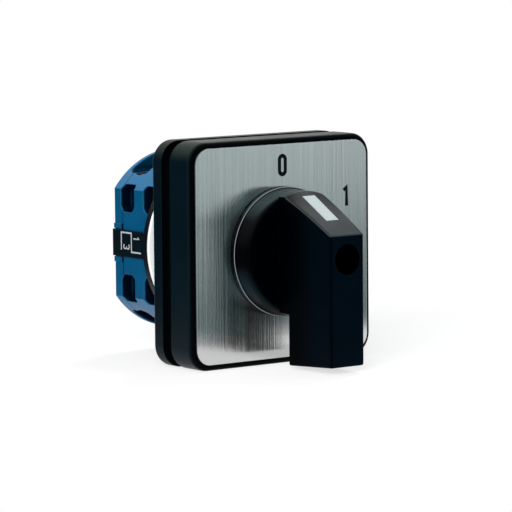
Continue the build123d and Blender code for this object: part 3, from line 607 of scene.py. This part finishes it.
def handled(tree, place, colour):
    """The handle's black with its marks, and its shine, by each point's place and the way it leans.

    The colour holds on the front of the blade and falls to black behind it, on upright corners and in the
    well, and dims on the left face, all as painted shade. The base is teal on top and navy where it leans
    down, as painted reflections. A bright ring of painted highlight lies where the lip faces the front, and a
    grey painted highlight along the slope's edges, which lean up less than the slope does.
    """
    low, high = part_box("handle")
    axes = axes_of(tree, place)
    lean = axes_of(tree, facing(tree))
    radius = off_axis(tree, place)[1]
    slope_y = high.y - slope_from_dial
    lip_y = high.y - lip_depth
    on_blade = reckoned(tree, "LESS_THAN", axes["Y"], slope_y)
    off_well = reckoned(tree, "GREATER_THAN", radius, well_reach)

    upper = graded(tree, lean["Z"], *upper_lean, face_shine, base_shine)
    lower = graded(tree, lean["Z"], *lower_lean, face_shine, under_shine)
    on_base = reckoned(tree, "MAXIMUM", upper, lower)
    on_slope = product(tree, off_well, graded(tree, lean["Z"], *upper_lean, face_shine, slope_shine))
    shine = blended(tree, on_blade, on_base, on_slope, "FLOAT")

    # Painted shade: the black falls away behind the front, on the left face, on upright corners and in the
    # well.
    back = graded(tree, axes["Y"], low.y + front_depth, low.y + back_depth, 1.0, back_shade)
    left = graded(tree, lean["X"], *left_lean, 1.0, left_shade)
    turning = reckoned(tree, "ABSOLUTE", product(tree, lean["X"], lean["Y"]))
    corner = graded(tree, turning, *corner_turn, 1.0, corner_shade)
    shaded_black = dimmed(tree, colour, product(tree, back, left, corner, off_well))

    # Painted reflections on the base: navy where it leans down by the dial, teal on top.
    near_dial = reached(tree, axes["Y"], slope_y, lip_y)
    leaning_down = reached(tree, lean["Z"], *under_lean)
    under = product(tree, near_dial, leaning_down, reached(tree, lean["Z"], *bottom_lean))
    off_blade = reckoned(tree, "SUBTRACT", 1.0, on_blade)
    top = product(tree, off_blade, reached(tree, lean["Z"], *top_lean))
    based = blended(tree, top, blended(tree, under, shaded_black, base_under_reflection), base_top_reflection)

    # Painted highlights: grey along the slope's edges, and a bright ring on the lip.
    leaning_up = reached(tree, lean["Z"], *edge_lean)
    below_slope = reached(tree, lean["Z"], slope_tilt, slope_tilt - edge_band)
    edge = product(tree, leaning_up, below_slope, on_blade, off_well)
    ring = reckoned(tree, "GREATER_THAN", radius, high.x - lip_width)
    at_dial = reckoned(tree, "GREATER_THAN", axes["Y"], lip_y)
    to_front = reckoned(tree, "LESS_THAN", lean["Y"], lip_lean)
    lip = product(tree, ring, at_dial, to_front)
    return blended(tree, lip, blended(tree, edge, based, slope_edge_highlight), lip_highlight), shine


handle_black = moulded_plastic(
    "handle_black",
    colour=(0.0002, 0.0026, 0.0054),
    edge_wear_and_highlight=(0.010, 0.014, 0.016),
    roughness=0.38,
    specular=0.045,
    grain=4200.0,
    depth=0.00005,
    edge=0.00030,
    paint=handled,
)
dress(handle_black, "handle")

# Marker: a strip of white plastic, moulded smooth and half glossy, and pressed into the slope of the handle
# to show where it points.
marker_white = moulded_plastic(
    "marker_white",
    colour=(0.37, 0.41, 0.415),
    edge_wear_and_highlight=(0.41, 0.45, 0.455),
    roughness=0.34,
    specular=0.14,
    grain=2400.0,
    depth=0.00001,
    edge=0.00012,
)
dress(marker_white, "indicator_insert")

# Insulating disc: matt white fibre sheet, punched out round and held between the latch and the live stage by
# the bolts of the stack.
disc_white = moulded_plastic(
    "disc_white",
    colour=(0.93, 0.93, 0.92),
    edge_wear_and_highlight=(0.84, 0.83, 0.81),
    roughness=0.62,
    specular=0.3,
    grain=1800.0,
    depth=0.00003,
    edge=0.00015,
)
dress(disc_white, "insulating_disc")

# Latch cup and front cover: black moulded plastic, a little glossier than the frame. The cup carries the
# detent behind the mounting plate, and the cover closes the front of the stage.
stage_black = moulded_plastic(
    "stage_black",
    colour=(0.0016, 0.0040, 0.0060),
    edge_wear_and_highlight=(0.016, 0.021, 0.025),
    roughness=0.38,
    specular=0.22,
    grain=3600.0,
    depth=0.00003,
    edge=0.00020,
)
dress(stage_black, "latch_housing", "front_cover")

# Contact stage and its rear cover: blue moulded plastic, satin, with bright edges, partly wear and partly
# painted highlight. The two halves meet in a fine dark seam. The wire entries and screw pockets fall away to
# navy as painted shade, and what leans up or down is a lighter blue as painted light.
seam_half = 0.00014
seam_core = 0.000056
seam_share = 0.08
skin_depth = 0.00050
skin_start = 0.00005
hollow_reach = 0.0045
skin_open = (0.28, 0.62)
hollow_open = (0.35, 0.80)
hollow_light = 0.05
outward_lean = (0.72, 0.90)
entry_light = 0.03
pocket_start, pocket_z = 0.01485, 0.0165
pocket_light = 0.26
bevel_lean = (0.30, 0.50)
hollow_shade_navy = (0.0003, 0.0010, 0.0050, 1)
bevel_lit_blue = (0.004, 0.128, 0.285, 1)


def seamed(tree, place, colour):
    """The stage's blue with its seam, its hollows and its bevels, and its shine, which the hollows lose.

    It darkens a line at the seam's depth, the joint's own dark, and as painted shade it darkens what walls
    shelter and what lies below the skin of the flats, the round and the rear without facing outward, less so
    in the pockets at the top. What leans up or down is lighter, as painted light.
    """
    seam_y, rear_y = (corner.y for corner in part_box("rear_cover"))
    stage_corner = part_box("contact_stage")[1]
    axes = axes_of(tree, place)
    offset, radius = off_axis(tree, place)
    faced = facing(tree)
    from_seam = reckoned(tree, "ABSOLUTE", reckoned(tree, "SUBTRACT", axes["Y"], seam_y))
    off_seam = graded(tree, from_seam, seam_core, seam_half, seam_share, 1.0)

    below_flat = reckoned(tree, "SUBTRACT", stage_corner.x, reckoned(tree, "ABSOLUTE", axes["X"]))
    below_round = reckoned(tree, "SUBTRACT", stage_corner.z, radius)
    below_rear = reckoned(tree, "SUBTRACT", rear_y, axes["Y"])
    below_skin = reckoned(tree, "MINIMUM", reckoned(tree, "MINIMUM", below_flat, below_round), below_rear)
    depth = reached(tree, below_skin, skin_start, skin_depth)

    # Painted shade: sheltered places and the hollows below the skin darken toward navy.
    open_air = shelter(tree, hollow_reach)
    on_skin = reached(tree, open_air, *skin_open)
    away = reckoned_vector(tree, "NORMALIZE", offset)
    outward = reckoned_vector(tree, "DOT_PRODUCT", faced, away)
    hollow_floor = graded(tree, axes["Z"], pocket_start, pocket_z, entry_light, pocket_light)
    turned_out = graded(tree, outward, *outward_lean, hollow_floor, 1.0)
    in_hollow = product(tree, turned_out, graded(tree, open_air, *hollow_open, hollow_light, 1.0))
    seam_and_shade = product(tree, off_seam, blended(tree, depth, on_skin, in_hollow, "FLOAT"))

    # Painted light: what leans up or down turns a lighter blue.
    bevel = reached(tree, reckoned(tree, "ABSOLUTE", axes_of(tree, faced)["Z"]), *bevel_lean)
    return blended(tree, seam_and_shade, hollow_shade_navy, blended(tree, bevel, colour, bevel_lit_blue)), seam_and_shade


stage_blue = moulded_plastic(
    "stage_blue",
    colour=(0.0004, 0.070, 0.162),
    edge_wear_and_highlight=(0.030, 0.160, 0.300),
    roughness=0.38,
    specular=0.28,
    grain=3000.0,
    depth=0.00003,
    edge=0.00024,
    paint=seamed,
)
dress(stage_blue, "contact_stage", "rear_cover")

# Label strips: half-glossy black plastic, moulded, and clipped along both flats of the stage. Each is printed
# in white with its contact diagram, whose digits read along the switch's axis.
strip_black = moulded_plastic(
    "strip_black",
    colour=(0.0020, 0.0062, 0.0095),
    edge_wear_and_highlight=(0.012, 0.018, 0.022),
    roughness=0.34,
    specular=0.16,
    grain=2600.0,
    depth=0.00002,
    edge=0.00015,
)
dress(strip_black, "label_strip_left", "label_strip_right")
white_ink = ink("white_ink", colour=(0.42, 0.435, 0.445), roughness=0.5)
line_w = 0.00034
digit_w = 0.00030
half_w = 0.00052
half_h = 0.00105
bowl_h = half_h / 2
digit_steps = 10
flag_x, flag_z = -0.00040, 0.00060
stem_x, bar_z = 0.00020, -0.00045
two_bow = arc((0, half_h - half_w), (half_w, half_w), 170, -35, digit_steps)
three_top = arc((0, bowl_h), (half_w, bowl_h), 150, -80, digit_steps)
three_bottom = arc((0, -bowl_h), (half_w, bowl_h), 80, -150, digit_steps)
digits = {
    1: [(flag_x, flag_z), (0, half_h), (0, -half_h)],
    2: np.vstack([two_bow, [(-half_w, -half_h), (half_w, -half_h)]]),
    3: np.vstack([three_top, three_bottom]),
    4: [(stem_x, -half_h), (stem_x, half_h), (-half_w, bar_z), (half_w, bar_z)],
}
frame_left, frame_right = -0.00379, 0.0
frame_top, frame_foot = 0.00239, -0.00147
lead_end, lead_z = 0.00350, -0.00172
contact_lines = [
    (frame_left, frame_foot),
    (frame_left, frame_top),
    (frame_right, frame_top),
    (frame_right, lead_z),
    (lead_end, lead_z),
]
digit_places = [(-0.00184, -0.00062), (0.00180, 0.00126)]
print_y = 0.01878


def sideways(path, place):
    """Digit turned to read along the axis: its height runs along the strip, its width down."""
    path = np.asarray(path, float)
    return np.column_stack([place[0] + path[:, 1], place[1] - path[:, 0]])


for strip, hand, numbers in (("label_strip_left", -1, (3, 1)), ("label_strip_right", 1, (4, 2))):
    low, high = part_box(strip)
    origin = (low.x if hand < 0 else high.x, print_y, 0)
    strokes = [stroke(contact_lines, line_w, ink_build)]
    for number, place in zip(numbers, digit_places):
        strokes.append(stroke(sideways(digits[number], place), digit_w, ink_build))
    printed(f"{strip}_print", strokes, origin, (0, hand, 0), white_ink)

# Steel: the shaft, the handle's screw and the bolts are turned and zinc plated, the terminal screws are
# plated and painted dark as the shade of their pockets, and the springs are drawn bright.


def plated_metal(name, colour, roughness, waves):
    """Plated or drawn metal: tool marks of so many waves a metre along x, y and z, and a cloudy plating."""
    cloud_scale, cloud_detail = 420.0, 4.0
    thin_tone, thick_tone = 0.82, 1.12
    smoother, rougher = 0.08, 0.10
    mark_strength, mark_depth = 0.3, 0.00002
    edge = 0.00012
    material, tree = new_shader(name)
    place = place_on(tree)
    marks = drawn_out(tree, place, waves)
    cloud = noise(tree, place, cloud_scale, cloud_detail)
    rounded = round_edges(tree, edge)
    tooled = {"Strength": mark_strength, "Distance": mark_depth, "Height": marks, "Normal": rounded}
    finish = {
        "Base Color": blended(tree, cloud, tint(colour, thin_tone), tint(colour, thick_tone)),
        "Metallic": 1.0,
        "Roughness": graded(tree, marks, 0.0, 1.0, roughness - smoother, roughness + rougher),
        "Normal": add_node(tree, "ShaderNodeBump", tooled).outputs[0],
    }
    show(tree, "ShaderNodeBsdfPrincipled", finish)
    return material


zinc = plated_metal(
    "zinc_plate",
    colour=(0.58, 0.59, 0.60),
    roughness=0.32,
    waves=(900.0, 4000.0, 900.0),
)
dress(zinc, "handle_screw", "shaft", "tie_bolts")
# Painted shade: the terminal screws take the darkness of the pockets they sit in.
pocket_shade_zinc = plated_metal(
    "pocket_shade_zinc",
    colour=(0.035, 0.045, 0.065),
    roughness=0.44,
    waves=(900.0, 900.0, 4000.0),
)
dress(pocket_shade_zinc, "terminal_screws")
spring_wire = plated_metal(
    "spring_wire",
    colour=(0.50, 0.51, 0.52),
    roughness=0.28,
    waves=(600.0, 600.0, 600.0),
)
dress(spring_wire, "detent_spring_left", "detent_spring_right")
contact_places = [f"{layer}_{side}" for layer in ("front", "rear") for side in ("top", "bottom")]
dress(spring_wire, *[f"spring_{place}" for place in contact_places])

# Contacts: the terminals and the contact bars are stamped from rolled brass. The terminals sit in the stage,
# and the bars ride on the plungers.
contact_brass = plated_metal(
    "contact_brass",
    colour=(0.78, 0.60, 0.30),
    roughness=0.30,
    waves=(300.0, 2600.0, 300.0),
)
dress(contact_brass, "terminals_front", "terminals_rear", *[f"bridge_{place}" for place in contact_places])

# Star wheel, cams and plungers: moulded in natural nylon, waxy and slightly yellow. The wheel and the cams
# sit on the square of the shaft, and the plungers slide in the stage.
natural_nylon = moulded_plastic(
    "natural_nylon",
    colour=(0.68, 0.65, 0.56),
    edge_wear_and_highlight=(0.74, 0.72, 0.66),
    roughness=0.46,
    specular=0.4,
    grain=1500.0,
    depth=0.00002,
    edge=0.00020,
)
dress(natural_nylon, "star_wheel", "cam_front", "cam_rear", *[f"plunger_{place}" for place in contact_places])
